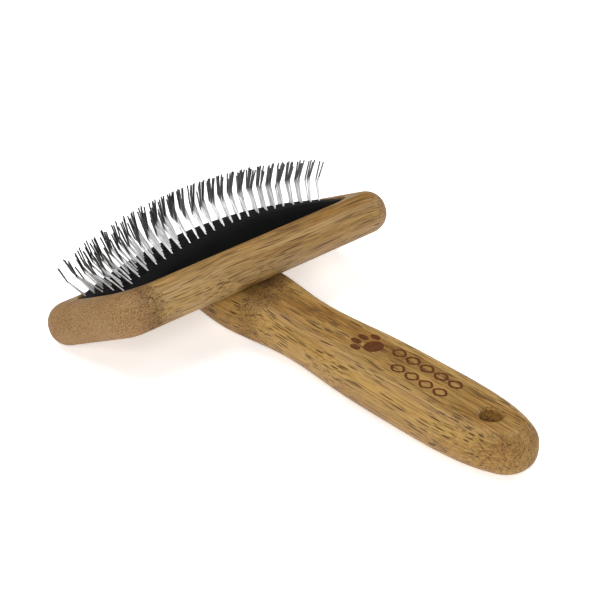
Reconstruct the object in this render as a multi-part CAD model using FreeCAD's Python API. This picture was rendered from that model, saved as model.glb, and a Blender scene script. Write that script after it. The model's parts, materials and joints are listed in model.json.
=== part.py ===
import FreeCAD, Part
import math
import os

# Slicker brush: a bamboo head with a domed pin pad, on a bamboo handle.
# Millimetres. +X runs along the head, +Y from the hanging hole to the head,
# +Z is up, the side that the pins stand on. The brush rests on the handle's
# tip and on the far lower edge of the head.

V = FreeCAD.Vector
Z_AXIS = V(0, 0, 1)
X_AXIS = V(1, 0, 0)

# Handle, before it is laid at rest: its tip is at y = 0, its top face at z = 0.
HANDLE_T = 14.4
HANDLE_EDGE_FLAT = 0.9
HANDLE_L = 138.0
TIP_R = 10.0
TIP_ARC = 62.0
GRIP_Y = 44.0
GRIP_W = 27.8
MIDDLE_W = 26.0
WAIST_SETBACK = 41.5
WAIST_W = 22.9
NECK_SETBACK = 21.0
NECK_W = 27.8
END_W = 22.0
END_CORNER_R = 5.0
HANG_HOLE_R = 3.55
HANG_HOLE_Y = 16.2
HANG_HOLE_BEVEL = 0.8

# Head: a bar with rounded sides, tilted back on the end of the handle.
HEAD_L = 115.0
HEAD_D = 48.0
HEAD_T = 13.6
HEAD_CORNER_R = 9.0
HEAD_EDGE_FLAT = 0.4
HEAD_TILT = 29.2
HEAD_SETBACK = 4.1
HEAD_CENTRE_Z = -1.9

# Pocket in the head, and the domed pad that is glued into it.
RIM_END = 8.7
RIM_SIDE = 6.7
POCKET_DEPTH = 4.2
POCKET_CORNER_R = 11.0
POCKET_BEVEL = 0.3
PAD_GAP = 0.15
PAD_CROWN = 7.3
PAD_END_SINK = 0.2
PAD_BARREL_R = 80.0
PAD_EDGE_R = 0.9
SKIN_T = 1.2
CLOTH_T = 0.8
LAYER_GAP = 0.02
CROWN_SINK = 0.8

# Pins: bent wire staples with two legs each, pushed up through the pad.
LINE_COUNT = 12
ROW_COUNT = 5
PIN_END_MARGIN = 6.35
PIN_SIDE_MARGIN = 5.5
FIELD_SHIFT = -2.9
WIRE_R = 0.25
WIRE_BEND_R = 0.7
LEG_L = 7.8
LEG_LEAN = 14.0
TIP_L = 6.2
TIP_LEAN = -20.0
FAN_FACTOR = 1.9
WIRE_SWAY = 4.0
SWAY_BY_ROW = 2.4
SWAY_BY_LINE = 1.7
PIN_CLEARANCE = 0.05

# Hidden joint of head and handle: two glued dowels and two wood screws.
SCREW_X = 3.8
SCREW_SETBACK = 5.9
SCREW_L = 16.0
SCREW_R = 1.75
SCREW_POINT_L = 4.0
SCREW_HEAD_R = 3.4
SCREW_HEAD_T = 2.0
SCREW_SINK = 0.4
DRIVE_L = 3.6
DRIVE_W = 0.8
DRIVE_DEPTH = 1.0
DOWEL_X = 7.5
DOWEL_R = 2.0
DOWEL_Y = -11.5
DOWEL_DEPTH = 6.0
HOLE_CLEARANCE = 0.08

HANDLE_EDGE_R = HANDLE_T / 2 - HANDLE_EDGE_FLAT
WAIST_Y = HANDLE_L - WAIST_SETBACK
NECK_Y = HANDLE_L - NECK_SETBACK
MIDDLE_Y = (GRIP_Y + WAIST_Y) / 2

HEAD_TOP = HEAD_T / 2
HEAD_EDGE_R = HEAD_T / 2 - HEAD_EDGE_FLAT
HEAD_CENTRE_Y = HANDLE_L - HEAD_SETBACK
POCKET_FLOOR = HEAD_TOP - POCKET_DEPTH
POCKET_L = HEAD_L - 2 * RIM_END
POCKET_D = HEAD_D - 2 * RIM_SIDE
PAD_TOP = HEAD_TOP + PAD_CROWN
PAD_L = POCKET_L - 2 * PAD_GAP
PAD_D = POCKET_D - 2 * PAD_GAP
PAD_CORNER_R = POCKET_CORNER_R - PAD_GAP
PAD_RISE = PAD_CROWN + PAD_END_SINK
PAD_DOME_R = (PAD_RISE ** 2 + (PAD_L / 2) ** 2) / (2 * PAD_RISE)

# Every second line is staggered by half a pitch along a row and half a step across.
FIELD_PITCHES = 2 * LINE_COUNT - 0.5
PIN_PITCH = (PAD_L - 2 * PIN_END_MARGIN) / FIELD_PITCHES
FIELD_STEPS = ROW_COUNT - 0.5
ROW_STEP = (PAD_D - 2 * PIN_SIDE_MARGIN) / FIELD_STEPS
CROWN_DEPTH = SKIN_T + CLOTH_T + WIRE_R + CROWN_SINK


def handle_outline():
    """The handle in plan: a round tip, two mirrored curves and a straight end."""
    turn = math.radians(TIP_ARC)
    across, along = math.sin(turn), math.cos(turn)
    end_y = HANDLE_L + HANDLE_T
    points = [
        (TIP_R * across, TIP_R * (1 - along)), (GRIP_W / 2, GRIP_Y), (MIDDLE_W / 2, MIDDLE_Y),
        (WAIST_W / 2, WAIST_Y), (NECK_W / 2, NECK_Y), (END_W / 2, end_y),
    ]
    sides = []
    for hand in (1, -1):
        side = Part.BSplineCurve()
        side.interpolate(
            Points=[V(hand * x, y, -HANDLE_T) for x, y in points],
            InitialTangent=V(hand * along, across, 0), FinalTangent=V(0, 1, 0))
        sides.append(side.toShape())
    right, left = (V(hand * points[0][0], points[0][1], -HANDLE_T) for hand in (1, -1))
    tip = Part.Arc(left, V(0, 0, -HANDLE_T), right).toShape()
    end = Part.makeLine(V(END_W / 2, end_y, -HANDLE_T), V(-END_W / 2, end_y, -HANDLE_T))
    return Part.Wire(Part.__sortEdges__([tip, sides[0], end, sides[1]]))


def rounded_prism(length, depth, corner_r, z0, z1):
    """A bar on the z axis with rounded corners in plan."""
    box = Part.makeBox(length, depth, z1 - z0, V(-length / 2, -depth / 2, z0))
    return box.makeFillet(corner_r, edges_where(box, lambda e: upright(e)))


def upright(edge):
    """Whether a straight edge runs along z."""
    first, last = edge.Vertexes[0].Point, edge.Vertexes[-1].Point
    return abs(first.z - last.z) > 1e-6 and (first - last).cross(Z_AXIS).Length < 1e-6


def edges_where(shape, test):
    """The edges of a shape that pass a test."""
    return [edge for edge in shape.Edges if test(edge)]


def flat_at(z):
    """A test for edges that lie in the level plane at z."""
    def test(edge):
        return all(abs(vertex.Point.z - z) < 1e-6 for vertex in edge.Vertexes) \
            and abs(edge.CenterOfMass.z - z) < 1e-4
    return test


def dome_radius(y, drop):
    """How far the pad's top, lowered by drop, is from the dome's axis at y."""
    return PAD_DOME_R - PAD_BARREL_R + math.sqrt((PAD_BARREL_R - drop) ** 2 - y ** 2)


def dome_barrel(drop):
    """The barrel that the pad's top follows, lowered by drop."""
    side, axis_z = PAD_D, PAD_TOP - PAD_DOME_R
    left, middle, right = (V(0, y, axis_z - dome_radius(y, drop)) for y in (-side, 0, side))
    belly = Part.Arc(left, middle, right).toShape()
    ends = Part.makePolygon([right, V(0, side, axis_z), V(0, -side, axis_z), left])
    half = Part.Face(Part.Wire(Part.__sortEdges__([belly] + ends.Edges)))
    return half.revolve(V(0, 0, axis_z), V(0, 1, 0), 360)


def domed_solid(inset, drop, floor):
    """The pad's shape, inset in plan and with its top lowered by drop."""
    prism = rounded_prism(
        PAD_L - 2 * inset, PAD_D - 2 * inset, PAD_CORNER_R - inset, floor, PAD_TOP + 1)
    return prism.common(dome_barrel(drop)).Solids[0]


def head_place():
    """Where the head's own frame lies in the handle's frame."""
    turn = FreeCAD.Rotation(X_AXIS, -HEAD_TILT)
    return FreeCAD.Placement(V(0, HEAD_CENTRE_Y, HEAD_CENTRE_Z), turn)


def rest_turn():
    """Lays the brush down on its tip and on the head's far lower edge."""
    tilt = math.radians(HEAD_TILT)
    back, low = HEAD_D / 2 - HEAD_EDGE_R, HEAD_EDGE_R - HEAD_T / 2
    far_y = HEAD_CENTRE_Y + back * math.cos(tilt) + low * math.sin(tilt)
    far_z = HEAD_CENTRE_Z - back * math.sin(tilt) + low * math.cos(tilt)
    run_y = far_y - HANDLE_EDGE_R
    run_z = far_z - (HANDLE_EDGE_R - HANDLE_T)
    slope = math.atan2(run_z, run_y)
    slope += math.asin((HANDLE_EDGE_R - HEAD_EDGE_R) / math.hypot(run_y, run_z))
    return FreeCAD.Placement(V(), FreeCAD.Rotation(X_AXIS, -math.degrees(slope)))


def placed(shape, place):
    """A copy of a shape, moved by a place on top of its own."""
    copy = shape.copy()
    copy.Placement = place.multiply(shape.Placement)
    return copy


def at_both_sides(shape, x):
    """A shape on the y axis, copied to both sides at x."""
    copies = []
    for side in (-x, x):
        copy = shape.copy()
        copy.translate(V(side, 0, 0))
        copies.append(copy)
    return copies


def head_blank():
    """The head before its holes are cut, in its own frame."""
    bar = rounded_prism(HEAD_L, HEAD_D, HEAD_CORNER_R, -HEAD_TOP, HEAD_TOP)
    rims = edges_where(bar, flat_at(HEAD_TOP)) + edges_where(bar, flat_at(-HEAD_TOP))
    return bar.makeFillet(HEAD_EDGE_R, rims)


def pocket_cutter():
    """The pad's pocket, with a small bevel round its mouth."""
    hole = rounded_prism(POCKET_L, POCKET_D, POCKET_CORNER_R, POCKET_FLOOR, HEAD_TOP)
    lip = rounded_prism(
        POCKET_L + 2 * POCKET_BEVEL, POCKET_D + 2 * POCKET_BEVEL,
        POCKET_CORNER_R + POCKET_BEVEL, HEAD_TOP - POCKET_BEVEL, HEAD_TOP + 1)
    return hole.fuse(lip)


def dowels(clearance):
    """The two dowels, or their holes, in the head's frame."""
    half = DOWEL_DEPTH + clearance
    foot = V(0, DOWEL_Y, -HEAD_TOP - half)
    pin = Part.makeCylinder(DOWEL_R + clearance, 2 * half, foot, Z_AXIS)
    return at_both_sides(pin, DOWEL_X)


def screws(clearance):
    """The two screws, or their holes, upright in the handle's frame."""
    y = HEAD_CENTRE_Y - SCREW_SETBACK
    z = SCREW_SINK - HANDLE_T
    shank_l = SCREW_L - SCREW_POINT_L
    point_r = 0.2
    shank = Part.makeCylinder(SCREW_R + clearance, shank_l, V(0, y, z), Z_AXIS)
    point = Part.makeCone(
        SCREW_R + clearance, point_r + clearance, SCREW_POINT_L + clearance,
        V(0, y, z + shank_l), Z_AXIS)
    cone = Part.makeCone(
        SCREW_HEAD_R + clearance, SCREW_R + clearance, SCREW_HEAD_T, V(0, y, z), Z_AXIS)
    screw = shank.fuse([point, cone])
    if clearance:
        mouth = Part.makeCylinder(
            SCREW_HEAD_R + clearance, SCREW_SINK + 1, V(0, y, z - SCREW_SINK - 1), Z_AXIS)
        return at_both_sides(screw.fuse(mouth), SCREW_X)
    for length, width in ((DRIVE_L, DRIVE_W), (DRIVE_W, DRIVE_L)):
        slot = Part.makeBox(length, width, DRIVE_DEPTH, V(-length / 2, y - width / 2, z))
        screw = screw.cut(slot)
    return at_both_sides(screw.removeSplitter(), SCREW_X)


def head_block():
    """The bamboo head, with its pocket and the holes of the joint."""
    block = head_blank().cut(pocket_cutter()).cut(Part.makeCompound(dowels(HOLE_CLEARANCE)))
    block.Placement = head_place()
    return block.cut(Part.makeCompound(screws(HOLE_CLEARANCE)))


def handle():
    """The bamboo handle, cut off on a slant where the head sits on it."""
    body = Part.Face(handle_outline()).extrude(V(0, 0, HANDLE_T))
    side = HANDLE_L + HANDLE_T - 1
    rims = [
        edge for edge in edges_where(body, flat_at(0)) + edges_where(body, flat_at(-HANDLE_T))
        if edge.CenterOfMass.y < side
    ]
    body = body.makeFillet(HANDLE_EDGE_R, rims)
    above = Part.makeBox(2 * GRIP_W, HANDLE_L, 4 * HANDLE_T, V(-GRIP_W, -HANDLE_L / 2, -HEAD_TOP))
    above.Placement = head_place()
    keep = rounded_prism(2 * GRIP_W, 2 * HANDLE_L, END_CORNER_R, -2 * HANDLE_T, HANDLE_T)
    body = body.cut(above).common(keep)
    hole = Part.makeCylinder(HANG_HOLE_R, HANDLE_T, V(0, HANG_HOLE_Y, -HANDLE_T), Z_AXIS)
    wide_r = HANG_HOLE_R + HANG_HOLE_BEVEL
    top = Part.makeCone(
        HANG_HOLE_R, wide_r, HANG_HOLE_BEVEL, V(0, HANG_HOLE_Y, -HANG_HOLE_BEVEL), Z_AXIS)
    bottom = Part.makeCone(
        wide_r, HANG_HOLE_R, HANG_HOLE_BEVEL, V(0, HANG_HOLE_Y, -HANDLE_T), Z_AXIS)
    sockets = Part.makeCompound(dowels(HOLE_CLEARANCE))
    sockets.Placement = head_place()
    drilled = Part.makeCompound(screws(HOLE_CLEARANCE))
    return body.cut([hole, top, bottom, sockets, drilled]).removeSplitter()


def staple_path():
    """One leg, the crown and the other leg of a staple."""
    lean, tip_lean = math.radians(LEG_LEAN), math.radians(TIP_LEAN)
    leg = V(0, math.sin(lean), math.cos(lean)) * (CROWN_DEPTH + LEG_L)
    tip = V(0, math.sin(tip_lean), math.cos(tip_lean)) * TIP_L
    foot_a, foot_b = V(-PIN_PITCH / 2, 0, 0), V(PIN_PITCH / 2, 0, 0)
    return [foot_a + leg + tip, foot_a + leg, foot_a, foot_b, foot_b + leg, foot_b + leg + tip]


def bent_wire(points, radius):
    """A round wire through the points, with rounded bends."""
    edges, start = [], points[0]
    for before, corner, after in zip(points, points[1:], points[2:]):
        to_before = (before - corner).normalize()
        to_after = (after - corner).normalize()
        half = to_before.getAngle(to_after) / 2
        cut = WIRE_BEND_R / math.tan(half)
        enter, leave = corner + to_before * cut, corner + to_after * cut
        inward = (to_before + to_after).normalize()
        middle = corner + inward * (WIRE_BEND_R / math.sin(half) - WIRE_BEND_R)
        edges.append(Part.makeLine(start, enter))
        edges.append(Part.Arc(enter, middle, leave).toShape())
        start = leave
    edges.append(Part.makeLine(start, points[-1]))
    circle = Part.Circle(points[0], points[1] - points[0], radius).toShape()
    return Part.Wire(edges).makePipeShell([Part.Wire([circle])], True, False)


def staple_places():
    """For each line, the places of its staples in the head's frame."""
    axis_z = PAD_TOP - PAD_DOME_R
    lines = []
    for index in range(2 * LINE_COUNT):
        side = 1 if index % 2 else -1
        pair_x = (index // 2 - (LINE_COUNT - 1) / 2) * 2 * PIN_PITCH
        slope = math.asin((pair_x + side * PIN_PITCH / 4 + FIELD_SHIFT) / PAD_DOME_R)
        line = []
        for row in range(ROW_COUNT):
            y = (row - (ROW_COUNT - 1) / 2 + side / 4) * ROW_STEP
            sway = WIRE_SWAY * math.sin(SWAY_BY_ROW * row + SWAY_BY_LINE * index)
            turn = FreeCAD.Rotation(V(0, 1, 0), math.degrees(slope) * FAN_FACTOR + sway)
            crown_r = dome_radius(y, CROWN_DEPTH)
            foot = V(crown_r * math.sin(slope), y, axis_z + crown_r * math.cos(slope))
            line.append(FreeCAD.Placement(foot, turn))
        lines.append(line)
    return lines


def staple_lines(clearance):
    """Every line of staples as a list, with the wire made wider by clearance."""
    wire = bent_wire(staple_path(), WIRE_R + clearance)
    lines = []
    for places in staple_places():
        line = []
        for place in places:
            staple = wire.copy()
            staple.Placement = place
            line.append(staple)
        lines.append(line)
    return lines


def leg_bores():
    """The straight holes that the staples' legs leave in the cloth and the skin."""
    foot, before = staple_path()[2], staple_path()[1]
    bore = Part.makeCylinder(
        WIRE_R + PIN_CLEARANCE, CROWN_DEPTH + LEG_L / 2, V(0, 0, 0), before - foot)
    bores = []
    for place in sum(staple_places(), []):
        for copy in at_both_sides(bore, PIN_PITCH / 2):
            bores.append(placed(copy, place))
    return bores


def pad_layers():
    """The skin, cloth and foam of the pad, with the holes of the pins."""
    wires = [staple for line in staple_lines(PIN_CLEARANCE) for staple in line]
    bores = leg_bores()
    skin = domed_solid(0, 0, POCKET_FLOOR)
    rim = [edge for edge in skin.Edges if edge.BoundBox.ZMin > POCKET_FLOOR + SKIN_T / 2]
    skin = skin.makeFillet(PAD_EDGE_R, rim)
    skin = skin.cut(domed_solid(SKIN_T, SKIN_T, POCKET_FLOOR - 1))
    inset = SKIN_T + LAYER_GAP
    cloth = domed_solid(inset, inset, POCKET_FLOOR).cut(dome_barrel(SKIN_T + CLOTH_T))
    foam = domed_solid(inset, SKIN_T + CLOTH_T + LAYER_GAP, POCKET_FLOOR)
    return {
        "face_skin": skin.cut(bores),
        "backing_cloth": cloth.cut(bores),
        "foam_cushion": foam.cut(wires),
    }


def main():
    in_head = pad_layers()
    in_head["neck_dowels"] = Part.makeCompound(dowels(0))
    for number, line in enumerate(staple_lines(0), 1):
        in_head["pin_line_%02d" % number] = Part.makeCompound(line)
    nodes = {
        "head_block": head_block(),
        "handle": handle(),
        "neck_screws": Part.makeCompound(screws(0)),
    }
    for name, shape in in_head.items():
        nodes[name] = placed(shape, head_place())
    for name, shape in nodes.items():
        nodes[name] = placed(shape, rest_turn())
    box = Part.makeCompound(list(nodes.values())).optimalBoundingBox(False, False)
    shift = V(-box.Center.x, -box.Center.y, -box.ZMin)
    os.makedirs("parts", exist_ok=True)
    for name, shape in nodes.items():
        shape.translate(shift)
        shape.exportStep("parts/%s.step" % name)


main()
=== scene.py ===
import json
import math

import bmesh
import bpy
from bpy.props import FloatProperty, FloatVectorProperty, PointerProperty
from mathutils import Matrix, Vector


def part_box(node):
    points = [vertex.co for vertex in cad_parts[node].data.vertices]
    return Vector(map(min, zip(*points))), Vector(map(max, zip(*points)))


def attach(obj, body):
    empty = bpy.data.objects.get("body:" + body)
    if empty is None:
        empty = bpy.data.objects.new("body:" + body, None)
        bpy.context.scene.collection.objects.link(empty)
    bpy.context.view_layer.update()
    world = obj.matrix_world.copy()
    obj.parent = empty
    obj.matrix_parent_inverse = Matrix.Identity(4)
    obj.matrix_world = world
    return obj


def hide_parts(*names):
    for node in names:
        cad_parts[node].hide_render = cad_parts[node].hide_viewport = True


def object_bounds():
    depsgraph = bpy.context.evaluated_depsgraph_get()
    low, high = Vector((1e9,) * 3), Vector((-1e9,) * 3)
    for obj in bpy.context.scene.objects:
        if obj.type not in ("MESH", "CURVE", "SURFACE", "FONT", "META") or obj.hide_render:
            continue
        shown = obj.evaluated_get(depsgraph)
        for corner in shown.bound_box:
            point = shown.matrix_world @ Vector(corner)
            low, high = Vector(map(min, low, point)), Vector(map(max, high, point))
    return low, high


bl_info = {
    "name": "Slicker brush",
    "version": (1, 0, 0),
    "blender": (4, 5, 0),
    "location": "3D View > Sidebar > Slicker brush",
    "description": "Finishes a bamboo slicker brush: wood, pad, pins, burnt mark and stage",
    "category": "Object",
}

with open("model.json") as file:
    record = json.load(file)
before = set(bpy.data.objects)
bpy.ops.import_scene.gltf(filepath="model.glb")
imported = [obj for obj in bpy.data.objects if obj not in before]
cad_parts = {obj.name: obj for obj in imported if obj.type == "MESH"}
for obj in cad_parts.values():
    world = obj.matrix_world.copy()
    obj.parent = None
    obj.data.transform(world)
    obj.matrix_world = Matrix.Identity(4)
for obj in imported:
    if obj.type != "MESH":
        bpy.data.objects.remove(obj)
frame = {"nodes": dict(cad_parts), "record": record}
CAD_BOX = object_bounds()
MM = 0.001
PER_METRE = 1000.0

# Tones and fields of the finishes, and of the painted dark reflection on the pin tips, in
# millimetres where they are lengths.
END_GRAIN_REACH = 5.0
END_GRAIN_DARK, END_GRAIN_LIGHT = (0.14, 0.068, 0.022), (0.38, 0.220, 0.095)
KNOT_BROWN = (0.13, 0.060, 0.022)
# The wire's tip tone is a painted dark reflection on the bent pin tips, not a colour of the wire,
# which is one steel from end to end.
WIRE_TONE, WIRE_TIP_PAINTED_REFLECTION, SCREW_TONE = (0.85, 0.85, 0.86), (0.12, 0.12, 0.12), (0.55, 0.54, 0.52)
STEEL_ROUGHNESS = 0.34
DULL_SHARE = 0.72
CHAR_LIGHTER = 1.6
# Heights above the face over which the painted tip reflection fades in.
PAINTED_REFLECTION_FROM, PAINTED_REFLECTION_FULL = 5.6, 8.0

# Reading the pins' feet off their crowns, and the face's dimples round them.
CROWN_BAND = 1.0 * MM
FOOT_IN_X, FOOT_IN_Y = 0.4 * MM, 0.5 * MM
FOOT_CELL = 4 * MM
DIMPLE_R = 0.95 * MM
ROLL_SHARE = 0.85

# The burnt mark.
LEAVES_IN_ROWS = ((-1, 5), (1, 4))
LEAF_PITCH = 1.08
LEAF_PINCH = 0.45
PAW_PITCHES = 5.2
PAW_SPOTS = (
    (0.0, -0.16, 0.62, 0.52), (-0.40, 0.16, 0.22, 0.34), (-0.14, 0.38, 0.22, 0.36),
    (0.14, 0.38, 0.22, 0.36), (0.40, 0.16, 0.22, 0.34))


def middle(node):
    """The middle of a CAD node's box."""
    low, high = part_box(node)
    return (Vector(low) + Vector(high)) / 2


class HeadSizes(bpy.types.PropertyGroup):
    tilt: FloatProperty(
        name="Tilt", description="How far the head leans back", subtype="ANGLE",
        default=math.radians(28.062))


class HandleSizes(bpy.types.PropertyGroup):
    slope: FloatProperty(
        name="Slope", description="Slope of the handle as the brush lies", subtype="ANGLE",
        default=math.radians(1.138))


class MarkSizes(bpy.types.PropertyGroup):
    start: FloatProperty(
        name="Start", description="From the hanging hole to the burnt mark", unit="LENGTH",
        default=15.0 * MM)
    side: FloatProperty(
        name="Side", description="Middle of the mark, right of the handle's middle",
        unit="LENGTH", default=0.5 * MM)
    stroke: FloatProperty(
        name="Stroke", description="Width of a burnt line", unit="LENGTH", default=0.8 * MM)
    leaf_length: FloatProperty(
        name="Leaf length", description="Length of one leaf", unit="LENGTH", default=5.4 * MM)
    leaf_width: FloatProperty(
        name="Leaf width", description="Width of one leaf", unit="LENGTH", default=4.5 * MM)
    row_gap: FloatProperty(
        name="Row gap", description="Between the middles of the two rows", unit="LENGTH",
        default=6.6 * MM)
    paw: FloatProperty(
        name="Paw", description="Size of the paw print", unit="LENGTH", default=11.0 * MM)
    relief: FloatProperty(
        name="Relief", description="How far the scorched skin stands off the wood",
        unit="LENGTH", default=0.04 * MM)


class PadSizes(bpy.types.PropertyGroup):
    crown: FloatProperty(
        name="Crown", description="Height of the dome above the head's middle", unit="LENGTH",
        default=14.1 * MM)
    half_length: FloatProperty(
        name="Half length", description="Half the length of the face", unit="LENGTH",
        default=48.65 * MM)
    end_drop: FloatProperty(
        name="End drop", description="How far the dome falls from its crown to its ends",
        unit="LENGTH", default=7.5 * MM)
    barrel: FloatProperty(
        name="Barrel", description="Radius of the crown across the face", unit="LENGTH",
        default=80.0 * MM)
    corner: FloatProperty(
        name="Corner", description="Corner radius in plan", unit="LENGTH", default=10.85 * MM)
    roll: FloatProperty(
        name="Rolled edge", description="Radius of the soft edge round the face",
        unit="LENGTH", default=1.6 * MM)
    dimple: FloatProperty(
        name="Dimple", description="Depth of the dimple round each pin", unit="LENGTH",
        default=0.22 * MM)
    voxel: FloatProperty(
        name="Mesh step", description="Size of the face's mesh", unit="LENGTH",
        default=0.55 * MM)


class WoodColours(bpy.types.PropertyGroup):
    light: FloatVectorProperty(
        name="Light", description="Light bamboo", subtype="COLOR", default=(0.45, 0.275, 0.085))
    golden: FloatVectorProperty(
        name="Golden", description="Main bamboo", subtype="COLOR", default=(0.24, 0.112, 0.017))
    grey: FloatVectorProperty(
        name="Grey", description="Cooler bamboo of the head", subtype="COLOR",
        default=(0.42, 0.275, 0.115))
    dark: FloatVectorProperty(
        name="Dark", description="Fibres and nodes", subtype="COLOR",
        default=(0.040, 0.012, 0.002))
    burnt: FloatVectorProperty(
        name="Burnt", description="Burnt mark", subtype="COLOR", default=(0.085, 0.026, 0.008))


class StageSizes(bpy.types.PropertyGroup):
    table_light: FloatProperty(
        name="Table light", description="Glow of the light table below the brush", default=0.50)
    low_light: FloatProperty(
        name="Low light", description="Brightness of the studio near the horizon", default=0.10)
    high_light: FloatProperty(
        name="High light", description="Brightness of the studio overhead", default=2.4)
    azimuth: FloatProperty(
        name="Azimuth", description="Side the camera stands on", subtype="ANGLE",
        default=math.radians(-44.238))
    elevation: FloatProperty(
        name="Elevation", description="Height of the camera as an angle", subtype="ANGLE",
        default=math.radians(29.615))
    roll: FloatProperty(
        name="Roll", description="Turn of the camera about its view", subtype="ANGLE",
        default=math.radians(1.3683))
    distance: FloatProperty(
        name="Distance", description="From the camera to its aim", unit="LENGTH", default=0.80471)
    lens: FloatProperty(
        name="Lens", description="Focal length", unit="CAMERA", default=167.37)
    aim: FloatVectorProperty(
        name="Aim", description="Point the camera looks at", subtype="XYZ", unit="LENGTH",
        default=(-0.035517, -0.017924, 0.047353))


# Frames of the two pieces of wood.


def head_matrix():
    """The head's own frame: x along it, z out of the pad."""
    sizes = bpy.context.scene.brush_head
    return Matrix.Translation(middle("head_block")) @ Matrix.Rotation(-sizes.tilt, 4, "X")


def handle_matrix():
    """The handle's own frame: y from the hole to the head, z out of its top face."""
    sizes = bpy.context.scene.brush_handle
    hole = Vector(frame["record"]["mounts"][0]["pos_m"])
    return Matrix.Translation(hole) @ Matrix.Rotation(sizes.slope, 4, "X")


# Node trees.


def add_node(tree, kind, inputs=None, **settings):
    """Adds a shader node, sets its fields and fills or links its inputs."""
    made = tree.nodes.new(kind)
    for key, value in settings.items():
        setattr(made, key, value)
    for key, value in (inputs or {}).items():
        if isinstance(value, bpy.types.NodeSocket):
            tree.links.new(value, made.inputs[key])
        else:
            made.inputs[key].default_value = value
    return made


def calc(tree, operation, *values):
    """A Math node's result."""
    made = add_node(tree, "ShaderNodeMath", dict(enumerate(values)), operation=operation)
    return made.outputs[0]


def product(tree, first, second):
    """Two values multiplied."""
    return calc(tree, "MULTIPLY", first, second)


def blend(tree, amount, first, second):
    """A colour mix."""
    made = add_node(tree, "ShaderNodeMix", data_type="RGBA")
    for key, value in ((0, amount), (6, first), (7, second)):
        if isinstance(value, bpy.types.NodeSocket):
            tree.links.new(value, made.inputs[key])
        elif key:
            made.inputs[key].default_value = (*value, 1.0)
        else:
            made.inputs[key].default_value = value
    return made.outputs[2]


def smooth(tree, value, low, high, out_low=0.0, out_high=1.0):
    """A soft step from low to high."""
    made = add_node(
        tree, "ShaderNodeMapRange",
        {0: value, 1: low, 2: high, 3: out_low, 4: out_high}, interpolation_type="SMOOTHSTEP")
    return made.outputs[0]


def noise(tree, vector, scale, detail=2.0, roughness=0.5):
    """Noise from 0 to 1."""
    made = add_node(
        tree, "ShaderNodeTexNoise",
        {"Vector": vector, "Scale": scale, "Detail": detail, "Roughness": roughness})
    return made.outputs["Fac"]


def vector_of(tree, x, y, z):
    """A vector from three values."""
    made = add_node(tree, "ShaderNodeCombineXYZ", {0: x, 1: y, 2: z})
    return made.outputs[0]


def new_material(name):
    """An empty material with its tree, shader and output."""
    material = bpy.data.materials.new(name)
    material.use_nodes = True
    tree = material.node_tree
    tree.nodes.clear()
    shader = add_node(tree, "ShaderNodeBsdfPrincipled")
    out = add_node(tree, "ShaderNodeOutputMaterial")
    tree.links.new(shader.outputs[0], out.inputs[0])
    return material, tree, shader


def local_mm(tree, place):
    """Coordinates in a piece's own frame, in millimetres, split in three."""
    coordinate = add_node(tree, "ShaderNodeTexCoord").outputs["Object"]
    mapping = add_node(
        tree, "ShaderNodeMapping",
        {"Vector": coordinate, "Location": place.translation, "Rotation": place.to_euler()},
        vector_type="TEXTURE")
    scaled = add_node(
        tree, "ShaderNodeVectorMath", {0: mapping.outputs[0], "Scale": PER_METRE},
        operation="SCALE")
    return add_node(tree, "ShaderNodeSeparateXYZ", {0: scaled.outputs[0]}).outputs


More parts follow.
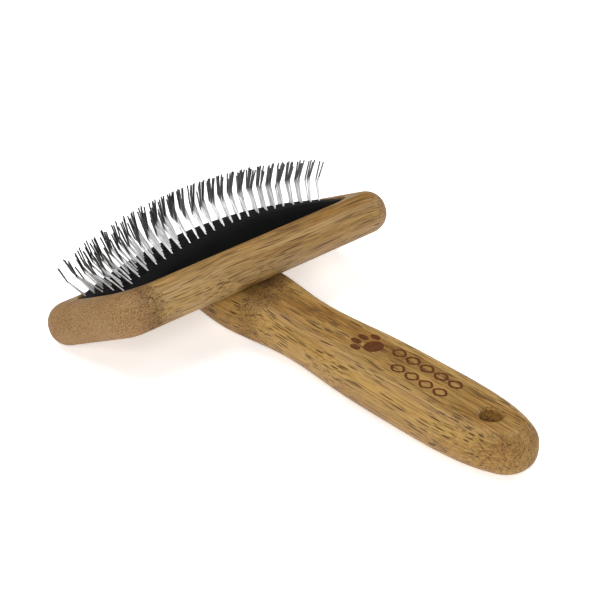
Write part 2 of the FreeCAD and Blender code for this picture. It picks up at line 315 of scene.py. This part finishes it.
def bamboo(name, place, along, knots, ends, base, second, dash):
    """Bamboo: fibres along one axis, glued strips, knots and darker end grain.

    Lengths are in millimetres. along is the axis of the grain. knots is a list of places
    along it, places across it and half widths. ends are the two places along the grain
    where the end grain is full. dash is the length, spacing, share and strength of the dark
    fibres, and how much the end grain covers."""
    colours = bpy.context.scene.brush_wood
    material, tree, shader = new_material(name)
    xyz = local_mm(tree, place)
    grain, across, depth = (xyz[0], xyz[1], xyz[2]) if along == "x" else (xyz[1], xyz[0], xyz[2])
    raw = vector_of(tree, grain, across, depth)

    # Knots: a soft mask where the fibres swirl and darken.
    knot = 0.0
    for where, side, half in knots:
        far = calc(tree, "ABSOLUTE", calc(tree, "SUBTRACT", grain, where))
        off = calc(tree, "ABSOLUTE", calc(tree, "SUBTRACT", across, side))
        reach = calc(tree, "SQRT", calc(
            tree, "ADD", calc(tree, "POWER", far, 2.0),
            product(tree, calc(tree, "POWER", off, 2.0), 0.35)))
        ragged = calc(tree, "MULTIPLY_ADD", noise(tree, raw, 0.45, 3.0), half, reach)
        spot = smooth(tree, ragged, half * 0.7, half * 1.9, 1.0, 0.0)
        knot = calc(tree, "MAXIMUM", knot, spot)

    # Fibres wander a little everywhere and swirl in the knots.
    wander = noise(tree, vector_of(
        tree, product(tree, grain, 0.02), product(tree, across, 0.05),
        product(tree, depth, 0.05)), 1.0, 1.0)
    swirl_a = calc(tree, "SUBTRACT", noise(tree, raw, 0.42, 2.0), 0.5)
    shift = calc(tree, "MULTIPLY_ADD", product(tree, swirl_a, knot), 9.0,
                 product(tree, wander, 5.0))
    a = calc(tree, "ADD", across, shift)
    c = calc(tree, "ADD", depth, shift)

    # Broad tone, strips, fine streaks.
    broad = noise(tree, vector_of(
        tree, product(tree, grain, 0.018), product(tree, a, 0.11),
        product(tree, c, 0.11)), 1.0, 2.0)
    strip = add_node(
        tree, "ShaderNodeTexVoronoi",
        {"Vector": vector_of(tree, product(tree, grain, 0.004), a, c), "Scale": 0.16,
         "Randomness": 0.8}, feature="F1")
    strip_tone = add_node(tree, "ShaderNodeSeparateXYZ", {0: strip.outputs["Color"]}).outputs[0]
    streak = noise(tree, vector_of(
        tree, product(tree, grain, 0.035), product(tree, a, 1.7),
        product(tree, c, 1.7)), 1.0, 3.0, 0.62)
    hair = noise(tree, vector_of(
        tree, product(tree, grain, 0.11), product(tree, a, 5.0),
        product(tree, c, 5.0)), 1.0, 2.0, 0.6)
    tone = calc(tree, "MULTIPLY_ADD", strip_tone, 0.3, product(tree, broad, 0.75))
    colour = blend(tree, smooth(tree, tone, 0.25, 0.8), base, second)
    colour = blend(tree, smooth(tree, streak, 0.50, 0.66, 0.0, 0.75), colour, colours.light)
    colour = blend(tree, smooth(tree, streak, 0.48, 0.32, 0.0, 0.55), colour, colours.dark)
    colour = blend(tree, smooth(tree, hair, 0.50, 0.36, 0.0, 0.50), colour, colours.dark)

    # Dark fibres, cut as dashes along the grain and as dots across it.
    length, spacing, share, strength, grainy = dash
    bundle = add_node(
        tree, "ShaderNodeTexVoronoi",
        {"Vector": vector_of(
            tree, calc(tree, "DIVIDE", grain, length), calc(tree, "DIVIDE", a, spacing),
            calc(tree, "DIVIDE", c, spacing)), "Scale": 1.0}, feature="F1")
    chance = add_node(tree, "ShaderNodeSeparateXYZ", {0: bundle.outputs["Color"]}).outputs[1]
    patch = noise(tree, vector_of(
        tree, product(tree, grain, 0.05), product(tree, a, 0.16),
        product(tree, c, 0.16)), 1.0, 1.0)
    present = smooth(tree, calc(
        tree, "MULTIPLY_ADD", patch, 1.3, product(tree, chance, -1.0)),
        0.65 - share, 0.9 - share)
    core = smooth(tree, bundle.outputs["Distance"], 0.47, 0.25)
    fibre = product(tree, core, present)
    halo = smooth(tree, bundle.outputs["Distance"], 0.62, 0.3, 0.0, 0.25)
    colour = blend(tree, product(tree, halo, present), colour, colours.light)
    colour = blend(tree, product(tree, fibre, strength), colour, colours.dark)

    # Knots and end grain are browner and more matt.
    end_low, end_high = ends
    end = calc(tree, "MAXIMUM", smooth(tree, grain, end_low + END_GRAIN_REACH, end_low),
               smooth(tree, grain, end_high - END_GRAIN_REACH, end_high))
    fleck = smooth(tree, noise(tree, raw, 2.6, 2.0, 0.7), 0.40, 0.62)
    end_tone = blend(tree, fleck, END_GRAIN_DARK, END_GRAIN_LIGHT)
    colour = blend(tree, product(tree, end, grainy), colour, end_tone)
    colour = blend(tree, product(tree, knot, 0.40), colour, KNOT_BROWN)
    ring = calc(tree, "ABSOLUTE", calc(tree, "SUBTRACT", noise(tree, raw, 0.75, 2.0), 0.5))
    curl = product(tree, smooth(tree, ring, 0.045, 0.012), knot)
    colour = blend(tree, product(tree, curl, 0.85), colour, colours.dark)
    tree.links.new(colour, shader.inputs["Base Color"])

    rough = calc(tree, "MULTIPLY_ADD", streak, 0.16, 0.42)
    rough = calc(tree, "MULTIPLY_ADD", calc(tree, "MAXIMUM", end, knot), 0.2, rough)
    tree.links.new(rough, shader.inputs["Roughness"])
    height = calc(tree, "MULTIPLY_ADD", fibre, -0.8, product(tree, hair, 0.5))
    height = calc(tree, "MULTIPLY_ADD", product(tree, end, fleck), 0.6, height)
    bump = add_node(
        tree, "ShaderNodeBump", {"Height": height, "Strength": 0.45, "Distance": 0.00012})
    tree.links.new(bump.outputs[0], shader.inputs["Normal"])
    shader.inputs["Specular IOR Level"].default_value = 0.25
    return material


def rubber():
    """Matt black rubber with a fine stipple."""
    material, tree, shader = new_material("pad rubber")
    coordinate = add_node(tree, "ShaderNodeTexCoord").outputs["Object"]
    broad = noise(tree, coordinate, 90.0, 2.0)
    stipple = noise(tree, coordinate, 2600.0, 2.0, 0.6)
    colour = blend(tree, smooth(tree, broad, 0.3, 0.7), (0.0018, 0.0018, 0.002),
                   (0.0042, 0.0041, 0.004))
    colour = blend(tree, smooth(tree, stipple, 0.62, 0.8, 0.0, 0.5), colour, (0.008, 0.008, 0.008))
    tree.links.new(colour, shader.inputs["Base Color"])
    tree.links.new(smooth(tree, broad, 0.2, 0.8, 0.74, 0.86), shader.inputs["Roughness"])
    bump = add_node(
        tree, "ShaderNodeBump", {"Height": stipple, "Strength": 0.35, "Distance": 0.00005})
    tree.links.new(bump.outputs[0], shader.inputs["Normal"])
    shader.inputs["Specular IOR Level"].default_value = 0.08
    return material


def steel(name, tone, roughness, painted_tip_reflection=None):
    """Drawn steel with small tone changes, and a painted dark reflection on the bent tips of the
    pins.
    """
    material, tree, shader = new_material(name)
    coordinate = add_node(tree, "ShaderNodeTexCoord").outputs["Object"]
    broad = noise(tree, coordinate, 240.0, 2.0)
    fine = noise(tree, coordinate, 3000.0, 2.0, 0.6)
    dull = tuple(part * DULL_SHARE for part in tone)
    colour = blend(tree, smooth(tree, broad, 0.35, 0.7), tone, dull)
    if painted_tip_reflection:
        # Painted dark reflection on the bent tips: a dark surround mirrored in the wire, painted
        # into its colour.
        colour = blend(tree, painted_reflection_mask(tree), colour, painted_tip_reflection)
    tree.links.new(colour, shader.inputs["Base Color"])
    spread = smooth(tree, fine, 0.3, 0.7, roughness - 0.06, roughness + 0.08)
    tree.links.new(spread, shader.inputs["Roughness"])
    bump = add_node(
        tree, "ShaderNodeBump", {"Height": fine, "Strength": 0.2, "Distance": 0.00001})
    tree.links.new(bump.outputs[0], shader.inputs["Normal"])
    shader.inputs["Metallic"].default_value = 1.0
    return material


def painted_reflection_mask(tree):
    """Mask of the painted tip reflection: from 0 on the straight legs of the pins to 1 on their
    bent tips, by height above the face.
    """
    sizes = bpy.context.scene.brush_pad
    x, y, z = local_mm(tree, head_matrix())
    radius = PER_METRE * (sizes.half_length ** 2 + sizes.end_drop ** 2) / (2 * sizes.end_drop)
    fall = calc(tree, "ADD", calc(tree, "DIVIDE", calc(tree, "POWER", x, 2.0), 2 * radius),
                calc(tree, "DIVIDE", calc(tree, "POWER", y, 2.0),
                     2 * PER_METRE * sizes.barrel))
    height = calc(tree, "SUBTRACT", calc(tree, "ADD", z, fall), PER_METRE * sizes.crown)
    return smooth(tree, height, PAINTED_REFLECTION_FROM, PAINTED_REFLECTION_FULL)


def plain_fibre(name, first, second, scale, roughness):
    """A woven or cellular stuff that is mostly hidden."""
    material, tree, shader = new_material(name)
    coordinate = add_node(tree, "ShaderNodeTexCoord").outputs["Object"]
    grains = noise(tree, coordinate, scale, 3.0, 0.6)
    tree.links.new(
        blend(tree, smooth(tree, grains, 0.35, 0.65), first, second), shader.inputs["Base Color"])
    tree.links.new(
        smooth(tree, grains, 0.2, 0.8, roughness, roughness + 0.12), shader.inputs["Roughness"])
    bump = add_node(
        tree, "ShaderNodeBump", {"Height": grains, "Strength": 0.4, "Distance": 0.0001})
    tree.links.new(bump.outputs[0], shader.inputs["Normal"])
    return material


def burnt_wood():
    """Wood scorched by a hot stamp: darkest at the middle of each stroke."""
    colours = bpy.context.scene.brush_wood
    material, tree, shader = new_material("burnt mark")
    coordinate = add_node(tree, "ShaderNodeTexCoord").outputs["Object"]
    char = noise(tree, coordinate, 900.0, 3.0, 0.6)
    lighter = tuple(part * CHAR_LIGHTER for part in colours.burnt)
    tree.links.new(
        blend(tree, smooth(tree, char, 0.4, 0.7), colours.burnt, lighter),
        shader.inputs["Base Color"])
    tree.links.new(smooth(tree, char, 0.2, 0.8, 0.55, 0.75), shader.inputs["Roughness"])
    bump = add_node(
        tree, "ShaderNodeBump", {"Height": char, "Strength": 0.5, "Distance": 0.0001})
    tree.links.new(bump.outputs[0], shader.inputs["Normal"])
    shader.inputs["Specular IOR Level"].default_value = 0.1
    return material


def dress(node, material):
    """Gives a CAD node its material."""
    piece = frame["nodes"][node]
    piece.data.materials.clear()
    piece.data.materials.append(material)


def select_only(piece):
    """Makes one object the only selected and active one."""
    bpy.ops.object.select_all(action="DESELECT")
    if piece:
        piece.select_set(True)
        bpy.context.view_layer.objects.active = piece


def apply_place(piece):
    """Moves an object's place into its mesh."""
    select_only(piece)
    bpy.ops.object.transform_apply(location=True, rotation=True, scale=True)


class BRUSH_OT_wood(bpy.types.Operator):
    """Gives the head and the handle their bamboo"""
    bl_idname = "brush.wood"
    bl_label = "Bamboo"

    def execute(self, context):
        colours = context.scene.brush_wood
        head = bamboo(
            "head bamboo", head_matrix(), "x", [(-46.0, -20.0, 4.6)], (-51.0, 53.0),
            colours.grey, colours.golden, (16.0, 0.45, 0.60, 0.85, 0.72))
        handle = bamboo(
            "handle bamboo", handle_matrix(), "y", [(92.0, -6.0, 5.0), (97.0, 4.0, 4.0)],
            (-13.0, 150.0), colours.golden, colours.light, (8.5, 0.62, 0.66, 0.95, 0.22))
        dress("head_block", head)
        dress("handle", handle)
        dress("neck_dowels", handle)
        return {"FINISHED"}


class BRUSH_OT_metal(bpy.types.Operator):
    """Gives the pins and the screws their steel, with a painted dark reflection on the bent pin
    tips
    """
    bl_idname = "brush.metal"
    bl_label = "Steel"

    def execute(self, context):
        wire = steel("pin steel with painted tip reflection", WIRE_TONE, STEEL_ROUGHNESS, WIRE_TIP_PAINTED_REFLECTION)
        for node in frame["nodes"]:
            if node.startswith("pin_line"):
                dress(node, wire)
        dress("neck_screws", steel("screw steel", SCREW_TONE, STEEL_ROUGHNESS))
        return {"FINISHED"}


def pin_feet():
    """Where each pin comes through the face, in the head's frame."""
    to_head = head_matrix().inverted()
    feet = []
    for name, piece in frame["nodes"].items():
        if not name.startswith("pin_line"):
            continue
        points = sorted((to_head @ vertex.co for vertex in piece.data.vertices), key=lambda p: p.y)
        low = min(p.z for p in points)
        crowns = [p for p in points if p.z < low + CROWN_BAND]
        row = [crowns[0]]
        for point in crowns[1:] + [None]:
            if point and point.y - row[-1].y < CROWN_BAND:
                row.append(point)
                continue
            y = sum(p.y for p in row) / len(row) + FOOT_IN_Y
            feet.append((min(p.x for p in row) + FOOT_IN_X, y))
            feet.append((max(p.x for p in row) - FOOT_IN_X, y))
            row = [point]
    return feet


class BRUSH_OT_pad(bpy.types.Operator):
    """Models the domed rubber face of the pad"""
    bl_idname = "brush.pad"
    bl_label = "Pad"

    def execute(self, context):
        sizes = context.scene.brush_pad
        to_head = head_matrix().inverted()
        points = [to_head @ vertex.co for vertex in frame["nodes"]["face_skin"].data.vertices]
        half_l = max(p.x for p in points)
        half_d = max(p.y for p in points)
        floor = min(p.z for p in points)
        crown = max(p.z for p in points)
        radius = (sizes.end_drop ** 2 + half_l ** 2) / (2 * sizes.end_drop)
        select_only(None)
        bpy.ops.mesh.primitive_cube_add(size=1.0, location=(0, 0, (floor + crown) / 2))
        pad = context.object
        pad.name = "rubber_face"
        pad.scale = (2 * half_l, 2 * half_d, crown - floor)
        apply_place(pad)
        bpy.ops.object.mode_set(mode="EDIT")
        bpy.ops.mesh.select_mode(type="EDGE")
        bpy.ops.mesh.select_all(action="DESELECT")
        mesh = bmesh.from_edit_mesh(pad.data)
        for edge in mesh.edges:
            run = edge.verts[0].co - edge.verts[1].co
            edge.select_set(abs(run.z) > abs(run.x) + abs(run.y))
        bmesh.update_edit_mesh(pad.data)
        bpy.ops.mesh.bevel(offset=sizes.corner, segments=8, affect="EDGES")
        bpy.ops.object.mode_set(mode="OBJECT")
        remesh = pad.modifiers.new("even mesh", "REMESH")
        remesh.mode = "VOXEL"
        remesh.voxel_size = sizes.voxel
        bpy.ops.object.modifier_apply(modifier=remesh.name)
        self.shape(pad, sizes, half_l, half_d, floor, crown, radius)
        pad.data.transform(head_matrix())
        bpy.ops.object.shade_smooth()
        pad.data.materials.append(rubber())
        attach(pad, "root")
        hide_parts("face_skin")
        return {"FINISHED"}

    @staticmethod
    def shape(pad, sizes, half_l, half_d, floor, crown, radius):
        """Crowns the face, rolls its edge and sinks a dimple at each pin."""
        near = {}
        for x, y in pin_feet():
            near.setdefault((round(x / FOOT_CELL), round(y / FOOT_CELL)), []).append((x, y))
        for vertex in pad.data.vertices:
            x, y, z = vertex.co
            sag = sizes.barrel - math.sqrt(sizes.barrel ** 2 - y ** 2)
            dome = crown - radius + math.sqrt((radius - sag) ** 2 - x ** 2)
            share = (z - floor) / (crown - floor)
            inner_x = max(abs(x) - (half_l - sizes.corner), 0.0)
            inner_y = max(abs(y) - (half_d - sizes.corner), 0.0)
            edge = sizes.corner - math.hypot(inner_x, inner_y)
            if inner_x == 0 and inner_y == 0:
                edge = min(half_l - abs(x), half_d - abs(y))
            roll = max(sizes.roll - edge, 0.0) / sizes.roll
            drop = sizes.roll * (1 - math.sqrt(max(1 - min(roll, 1.0) ** 2, 0.0)))
            top = dome - drop * ROLL_SHARE
            kx, ky = round(x / FOOT_CELL), round(y / FOOT_CELL)
            if share > 0.5:
                for i in (-1, 0, 1):
                    for j in (-1, 0, 1):
                        for px, py in near.get((kx + i, ky + j), ()):
                            far = math.hypot(x - px, y - py) / DIMPLE_R
                            top -= sizes.dimple * math.exp(-far * far)
            vertex.co.z = floor + share * (top - floor)


class BRUSH_OT_mark(bpy.types.Operator):
    """Burns a plain paw print and two rows of leaves into the handle"""
    bl_idname = "brush.mark"
    bl_label = "Burnt mark"

    def execute(self, context):
        sizes = context.scene.brush_mark
        pitch = sizes.leaf_length * LEAF_PITCH
        shapes = []
        for row, count in LEAVES_IN_ROWS:
            for index in range(count):
                along = sizes.start + (index + 0.5) * pitch
                side = sizes.side - row * sizes.row_gap / 2
                shapes.append(self.leaf(sizes, side, along))
        middle_y = sizes.start + PAW_PITCHES * pitch + sizes.paw / 2
        for across, along, width, length in PAW_SPOTS:
            shapes.append(self.spot(
                sizes.side + across * sizes.paw, middle_y + along * sizes.paw,
                width * sizes.paw, length * sizes.paw))
        select_only(shapes[0])
        for shape in shapes:
            shape.select_set(True)
        bpy.ops.object.join()
        mark = context.object
        mark.name = "burnt_mark"
        self.lay_down(mark, sizes)
        mark.data.materials.append(burnt_wood())
        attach(mark, "root")
        return {"FINISHED"}

    @staticmethod
    def spot(side, along, width, length, points=28):
        """A filled oval over the handle."""
        hole = Vector(frame["record"]["mounts"][0]["pos_m"])
        select_only(None)
        bpy.ops.mesh.primitive_circle_add(
            vertices=points, radius=0.5, fill_type="NGON",
            location=(hole.x + side, hole.y + along, CAD_BOX[1][2]))
        shape = bpy.context.object
        shape.scale = (width, length, 1.0)
        apply_place(shape)
        return shape

    def leaf(self, sizes, side, along):
        """The outline of a pointed leaf."""
        shape = self.spot(side, along, sizes.leaf_width, sizes.leaf_length)
        vertices = shape.data.vertices
        middle_y = sum(vertex.co.y for vertex in vertices) / len(vertices)
        middle_x = sum(vertex.co.x for vertex in vertices) / len(vertices)
        for vertex in vertices:
            reach = abs(vertex.co.y - middle_y) / (sizes.leaf_length / 2)
            vertex.co.x = middle_x + (vertex.co.x - middle_x) * (1 - LEAF_PINCH * reach ** 2)
        bpy.ops.object.mode_set(mode="EDIT")
        bpy.ops.mesh.select_all(action="SELECT")
        bpy.ops.mesh.inset(thickness=sizes.stroke, depth=0.0)
        bpy.ops.mesh.delete(type="FACE")
        bpy.ops.object.mode_set(mode="OBJECT")
        return shape

    @staticmethod
    def lay_down(mark, sizes):
        """Cuts the mark finely and lays it on the wood."""
        bpy.ops.object.mode_set(mode="EDIT")
        bpy.ops.mesh.select_all(action="SELECT")
        bpy.ops.mesh.quads_convert_to_tris()
        bpy.ops.mesh.subdivide(number_cuts=2)
        bpy.ops.object.mode_set(mode="OBJECT")
        wrap = mark.modifiers.new("lay on wood", "SHRINKWRAP")
        wrap.wrap_method = "PROJECT"
        wrap.use_project_z = True
        wrap.use_negative_direction = True
        wrap.use_positive_direction = False
        wrap.target = frame["nodes"]["handle"]
        bpy.ops.object.modifier_apply(modifier=wrap.name)
        skin = mark.modifiers.new("skin", "SOLIDIFY")
        skin.thickness = 2 * sizes.relief
        skin.offset = 0.0
        bpy.ops.object.modifier_apply(modifier=skin.name)


class BRUSH_OT_layers(bpy.types.Operator):
    """Gives the hidden layers of the pad their stuffs"""
    bl_idname = "brush.layers"
    bl_label = "Pad layers"

    def execute(self, context):
        dress("backing_cloth", plain_fibre(
            "backing cloth", (0.03, 0.03, 0.03), (0.09, 0.09, 0.09), 1800.0, 0.75))
        dress("foam_cushion", plain_fibre(
            "foam", (0.02, 0.02, 0.02), (0.06, 0.06, 0.06), 1200.0, 0.8))
        return {"FINISHED"}


def look_at(place, target):
    """A turn whose minus z points from place to target."""
    return (Vector(target) - Vector(place)).to_track_quat("-Z", "Y").to_euler()


class BRUSH_OT_stage(bpy.types.Operator):
    """Sets the pale floor, the soft lights and the camera"""
    bl_idname = "brush.stage"
    bl_label = "Stage"

    def execute(self, context):
        sizes = context.scene.brush_stage
        select_only(None)
        bpy.ops.mesh.primitive_plane_add(size=12.0, location=(0, 0, 0))
        floor = context.object
        floor.name = "floor"
        material, tree, shader = new_material("floor")
        shader.inputs["Base Color"].default_value = (0.94, 0.94, 0.94, 1.0)
        shader.inputs["Roughness"].default_value = 0.9
        shader.inputs["Specular IOR Level"].default_value = 0.1
        shader.inputs["Emission Color"].default_value = (1.0, 1.0, 1.0, 1.0)
        shader.inputs["Emission Strength"].default_value = sizes.table_light
        floor.data.materials.append(material)
        lights = (
            ("softbox above", (-0.10, 0.45, 1.10), 1.3, 14.0),
            ("softbox front", (-0.95, -0.75, 0.75), 0.5, 11.0),
            ("softbox right", (0.95, -0.25, 0.55), 0.7, 5.0),
        )
        for name, place, size, power in lights:
            bpy.ops.object.light_add(
                type="AREA", location=place, rotation=look_at(place, (0, 0, 0)))
            light = context.object
            light.name = name
            light.data.shape = "SQUARE"
            light.data.size = size
            light.data.energy = power
        context.scene.world = self.sky(sizes)
        context.scene.view_settings.view_transform = "Standard"
        self.camera(context, sizes)
        return {"FINISHED"}

    @staticmethod
    def sky(sizes):
        """A studio that is bright overhead and dim near the horizon."""
        world = bpy.data.worlds.new("studio")
        world.use_nodes = True
        tree = world.node_tree
        direction = add_node(tree, "ShaderNodeTexCoord").outputs["Generated"]
        height = add_node(tree, "ShaderNodeSeparateXYZ", {0: direction}).outputs[2]
        tree.links.new(
            smooth(tree, height, 0.30, 0.75, sizes.low_light, sizes.high_light),
            tree.nodes["Background"].inputs["Strength"])
        return world

    @staticmethod
    def camera(context, sizes):
        """The camera, aimed from its angles."""
        turn = (
            Matrix.Rotation(sizes.azimuth, 4, "Z")
            @ Matrix.Rotation(math.pi / 2 - sizes.elevation, 4, "X")
            @ Matrix.Rotation(sizes.roll, 4, "Z"))
        back = turn @ Vector((0, 0, 1))
        bpy.ops.object.camera_add()
        camera = context.object
        camera.name = "camera"
        camera.matrix_world = Matrix.Translation(
            Vector(sizes.aim) + back * sizes.distance) @ turn
        camera.data.lens = sizes.lens
        camera.data.sensor_width = 36.0
        camera.data.clip_start = 0.01
        context.scene.camera = camera


class BRUSH_PT_panel(bpy.types.Panel):
    """Lists the steps of the brush"""
    bl_label = "Slicker brush"
    bl_idname = "BRUSH_PT_panel"
    bl_space_type = "VIEW_3D"
    bl_region_type = "UI"
    bl_category = "Slicker brush"

    def draw(self, context):
        for name in STEPS:
            self.layout.operator("brush." + name)
        for group in GROUPS:
            box = self.layout.box()
            settings = getattr(context.scene, group)
            for key in settings.__annotations__:
                box.prop(settings, key)


STEPS = ("wood", "metal", "mark", "pad", "layers", "stage")
GROUPS = {
    "brush_head": HeadSizes,
    "brush_handle": HandleSizes,
    "brush_mark": MarkSizes,
    "brush_pad": PadSizes,
    "brush_wood": WoodColours,
    "brush_stage": StageSizes,
}
CLASSES = (
    *GROUPS.values(),
    BRUSH_OT_wood, BRUSH_OT_metal, BRUSH_OT_mark, BRUSH_OT_pad, BRUSH_OT_layers, BRUSH_OT_stage,
    BRUSH_PT_panel,
)


def register():
    for item in CLASSES:
        bpy.utils.register_class(item)
    for name, group in GROUPS.items():
        setattr(bpy.types.Scene, name, PointerProperty(type=group))


def unregister():
    for name in GROUPS:
        delattr(bpy.types.Scene, name)
    for item in reversed(CLASSES):
        bpy.utils.unregister_class(item)


def main():
    register()
    for name in STEPS:
        getattr(bpy.ops.brush, name)()


if __name__ == "__main__":
    main()
